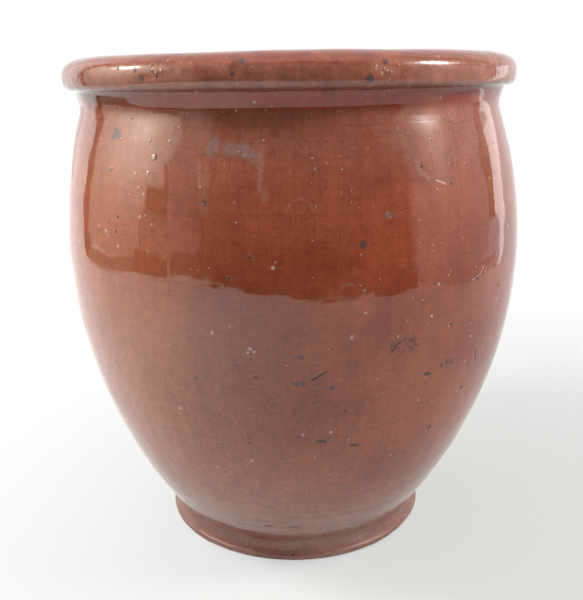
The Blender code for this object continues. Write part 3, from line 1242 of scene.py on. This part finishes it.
def specked_colour(colour, rough_place, pits, painted_pit_glints):
    """The colour with its cream specks, painted glints with their painted dark rims, and its pits."""
    cream = most(marks(rough_place, CREAM_MARKS, 0.4), specks(rough_place, *CREAM_SPECKS))
    # Painted glints: tiny pale specks, each with a painted dark rim, and the pale side of each pit.
    faint = product(most(painted_pit_glints, specks(rough_place, *PAINTED_GLINT_SPECKS)), 0.75)
    colour = lay(colour, PIT_AND_RIM_SHADE_COLOUR, speck_rims(rough_place, *PAINTED_GLINT_SPECKS), 0.16)
    colour = lay(colour, CREAM_COLOUR, most(cream, faint), 0.65)
    return lay(colour, PIT_AND_RIM_SHADE_COLOUR, pits, 0.85)


# %% Bump of the glaze, in millimetres
PEEL_SIZE = 3.2
PEEL_HEIGHT = 0.026
FINE_SIZE = 0.9
FINE_HEIGHT = 0.005
WHEEL_LINES = (45, 1.6)
WHEEL_LINE_HEIGHT = 0.010
BUMPY_BEAD = (176, 180)
BEAD_ENDS = (60, 84)
END_RIDGES = (0.9, 9)
END_RIDGE_HEIGHT = 0.06
DENT_SIZE = 4.5
DENT_HEIGHT = 0.12
PIT_DEPTH = -0.16
CRACK_DEPTH = -0.012


def pile_up(base, layers):
    """A base, plus the pattern of each layer times its height."""
    for pattern, height in layers:
        base = scaled(pattern, height, base)
    return base


def bump(layers):
    """A bump from layers, each a pattern and its height in millimetres."""
    relief = pile_up(0.0, layers)
    return put("ShaderNodeBump", Strength=1.0, Distance=MM, Height=relief).outputs[0]


def glaze_bump(place, wheel, pits, lines):
    """Orange peel, fine grain and wheel lines, a rougher bead with ridged ends, pits and cracks."""
    across, depth, height = parts_of(place)
    bead = rise(height, BUMPY_BEAD)
    ends = rise(calculate("ABSOLUTE", across), BEAD_ENDS)
    layers = [
        (noise(place, PEEL_SIZE, 0), PEEL_HEIGHT),
        (noise(place, FINE_SIZE), FINE_HEIGHT),
        (stretched(wheel, *WHEEL_LINES), WHEEL_LINE_HEIGHT),
        (product(stretched(wheel, *END_RIDGES), bead, ends), END_RIDGE_HEIGHT),
        (product(noise(place, DENT_SIZE, 3), bead, scaled(ends, 1.5, 1.0)), DENT_HEIGHT),
        (pits, PIT_DEPTH),
        (lines, CRACK_DEPTH),
    ]
    return bump(layers)


# %% Outside glaze material
GLAZE_INDEX = 1.6
EDGE_DRIFT = (1.8, 0.45)
GLAZE_ROUGHNESS = 0.035
SMUDGE_ROUGHNESS = 0.06
WORN_ROUGHNESS = 0.22
FOOT_ROUGHNESS = 0.25
PIT_ROUGHNESS = 0.4
FOOT_BAND = (10.5, 8.0)


def finish_surface(colour, roughness, normal, index):
    """A Principled shader with these, linked to the output."""
    sockets = {"Base_Color": colour, "Roughness": roughness, "Normal": normal, "IOR": index}
    finish_nodes(put("ShaderNodeBsdfPrincipled", **sockets))


def outside_material():
    """The whole outside glaze."""
    material = new_material("red_brown_glaze")
    place = own_place()
    wheel = wheel_place(place)
    rough_place = warped(place, *EDGE_DRIFT)
    height = parts_of(place)[2]
    worn_and_lit = worn_and_lit_share(place, wheel, height)
    lines = crack_lines(place, rough_place)
    pits, painted_pit_glints = pit_masks(rough_place)
    colour = worn_and_shaded_colour(body_colour(place, wheel), place, worn_and_lit)
    colour = marked_colour(colour, place, rough_place, lines)
    colour = specked_colour(colour, rough_place, pits, painted_pit_glints)
    rough = [
        (patches(place, 24, 0.45, 0.75), SMUDGE_ROUGHNESS),
        (worn_and_lit, WORN_ROUGHNESS),
        (rise(height, FOOT_BAND), FOOT_ROUGHNESS),
        (pits, PIT_ROUGHNESS),
    ]
    roughness = pile_up(GLAZE_ROUGHNESS, rough)
    finish_surface(colour, roughness, glaze_bump(place, wheel, pits, lines), GLAZE_INDEX)
    print("The outside glaze has", len(tree.nodes), "nodes")
    return material


outside_glaze = outside_material()
outside.data.materials.append(outside_glaze)

# %% [markdown]
# ## The inside glaze and the bare clay
#
# Inside, the glaze lies thicker in the corner of the floor and shows more orange on the rings, where it
# is thin. The clay of the foot is dry, gritty and stained by use, and its underside still shows the arcs
# that the cutting wire left.

# %% Inside glaze material
INSIDE_DEEP = (0.29, 0.078, 0.036, 1)
INSIDE_ORANGE = (0.40, 0.125, 0.058, 1)
INSIDE_POOL = (0.13, 0.030, 0.015, 1)
INSIDE_STREAKS = [(2.2, 40, 0.24), (60, 2.4, 0.30)]
INSIDE_GRAIN = 0.30
POOL_BAND = (34, 14)
INSIDE_PITS = (5.5, 0.7, 2.5)
INSIDE_SPECKS = (8, 0.7, 3)


def inside_material():
    """The glaze over the floor and the inner wall."""
    material = new_material("inner_glaze")
    place = own_place()
    wheel = wheel_place(place)
    rough_place = warped(place, *EDGE_DRIFT)
    colour = lay(INSIDE_DEEP, INSIDE_ORANGE, patches(place, 24, 0.36, 0.66, 4))
    colour = streaked(colour, wheel, INSIDE_STREAKS)
    colour = shade(colour, noise(place, 1), INSIDE_GRAIN)
    colour = lay(colour, INSIDE_POOL, rise(parts_of(place)[2], POOL_BAND), 0.45)
    lines = product(cracks(place, 58, 7.6), patches(place, 21, 0.40, 0.62), 0.6)
    colour = lay(colour, CRACK_AND_SHADE_COLOUR, lines)
    colour = lay(colour, CREAM_COLOUR, specks(rough_place, *INSIDE_SPECKS), 0.6)
    pits = specks(rough_place, *INSIDE_PITS)
    colour = lay(colour, PIT_AND_RIM_SHADE_COLOUR, pits, 0.8)
    roughness = scaled(noise(place, 18), 0.12, 0.03)
    finish_surface(colour, roughness, glaze_bump(place, wheel, pits, lines), GLAZE_INDEX)
    return material


# %% Bare clay material
CLAY_LIGHT = (0.46, 0.20, 0.11, 1)
CLAY_RED = (0.34, 0.12, 0.06, 1)
CLAY_STAIN = (0.13, 0.060, 0.038, 1)
CLAY_ROUGHNESS = 0.86
CLAY_INDEX = 1.5
CLAY_GRAINS = (3, 0.5, 2)
GRIT_HEIGHT = 0.05
WIRE_CENTRE = (-0.075, -0.050, 0)
WIRE_PITCH = 1.9 * MM
WIRE_HEIGHT = 0.06
WIRE_DRIFT = (12, 0.8)
UNDERSIDE_BAND = (0.3, 0.1)
STAINED_EDGE = (0, 1)


def wire_arcs(place, height):
    """The arcs of the cutting wire, as waves of the distance from a point outside the foot."""
    reach = vector_math("DISTANCE", warped(place, *WIRE_DRIFT), WIRE_CENTRE)
    wave = calculate("SINE", product(reach, 2 * math.pi / WIRE_PITCH))
    return product(wave, rise(height, UNDERSIDE_BAND))


def clay_material():
    """Dry red earthenware."""
    material = new_material("bare_clay")
    place = own_place()
    height = parts_of(place)[2]
    colour = lay(CLAY_RED, CLAY_LIGHT, patches(place, 15, 0.35, 0.65, 5))
    colour = shade(colour, noise(place, 0.8, 3), 0.40)
    stain = most(patches(place, 11, 0.42, 0.68, 4), product(rise(height, STAINED_EDGE), 0.8))
    colour = lay(colour, CLAY_STAIN, stain, 0.7)
    colour = lay(colour, CREAM_COLOUR, specks(place, *CLAY_GRAINS), 0.5)
    normal = bump([(noise(place, 0.9, 4), GRIT_HEIGHT), (wire_arcs(place, height), WIRE_HEIGHT)])
    finish_surface(colour, CLAY_ROUGHNESS, normal, CLAY_INDEX)
    return material


inside.data.materials.append(inside_material())
clay.data.materials.append(clay_material())
print("Inside and clay finished")

# %% [markdown]
# ## Blisters
#
# Where gas swelled the glaze it stands up in small domes that catch the light. Those are real shape: half
# sunk spheres, flattened, pressed on to the glaze where the photograph shows them and, on the sides that
# it doesn't show, wherever a seeded chance puts them.

# %% Blisters
BLISTERS = [
    (7, 154, 157), (4.5, 148, 173), (4, 150, 140), (3.5, 170, 141), (3.5, 132, 118), (3.5, 121, 139),
    (4.5, 156, 74), (3.5, 118, 68), (3.5, 127, 65), (4, 151, 66), (3, 161, 70), (3, 135, 71),
    (3, 376, 66), (3.5, 384, 69), (3, 391, 72), (3, 398, 65), (3.5, 106, 231), (3, 99, 226),
    (3, 240, 152), (4, 204, 205), (4, 389, 215), (3, 273, 268), (3, 112, 168), (3, 140, 217),
    (3, 180, 128), (3, 484, 112), (3, 430, 170), (3, 246, 156), (3, 303, 435), (3, 331, 432),
]
CHANCE_BLISTERS = 70
CHANCE_SEED = 7
CHANCE_WIDTHS = (2, 5)
BLISTER_HEIGHT = 0.42
BLISTER_SINK = 0.50
BLISTER_DETAIL = 3
BACK_BEARINGS = (75, 285)


def add_blister(place, normal, radius):
    """One flattened ball, sunk a little way into the glaze."""
    bpy.ops.mesh.primitive_ico_sphere_add(subdivisions=BLISTER_DETAIL, radius=radius)
    ball = bpy.context.object
    ball.scale.z = BLISTER_HEIGHT
    ball.rotation_euler = normal.to_track_quat("Z", "Y").to_euler()
    ball.location = place - normal * radius * BLISTER_HEIGHT * BLISTER_SINK
    bpy.ops.object.transform_apply()
    bpy.ops.object.shade_smooth()
    return ball


def chance_places():
    """Places on the sides that the photograph doesn't show, each with its direction outwards."""
    chance = random.Random(CHANCE_SEED)
    for number in range(CHANCE_BLISTERS):
        direction = bearing_direction(chance.uniform(*BACK_BEARINGS))
        start = direction * LAMP_DISTANCE
        start.z = chance.uniform(WAIST_HEIGHT, POT_HEIGHT)
        place, normal, index, distance = glaze_tree.ray_cast(start, -direction)
        if place is not None:
            yield chance.uniform(*CHANCE_WIDTHS), place, normal


def add_blisters():
    """All the blisters, joined into one piece."""
    deselect_all()
    balls = []
    for width, *pixel in BLISTERS:
        balls.append(add_blister(*on_glaze(pixel), width * PIXEL / 2))
    for width, place, normal in chance_places():
        balls.append(add_blister(place, normal, width * PIXEL / 2))
    for ball in balls:
        ball.select_set(True)
    bpy.ops.object.join()
    blisters = bpy.context.object
    blisters.name = "glaze_blisters"
    blisters.data.materials.append(outside_glaze)
    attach(blisters, "root")
    return blisters


blisters = add_blisters()
print("Blisters:", len(blisters.data.polygons), "faces")

# %% Ride and replace
for piece, node in ((clay, "clay_body"), (outside, "outside_glaze"), (inside, "inside_glaze")):
    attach(piece, "root")
    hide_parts(node)
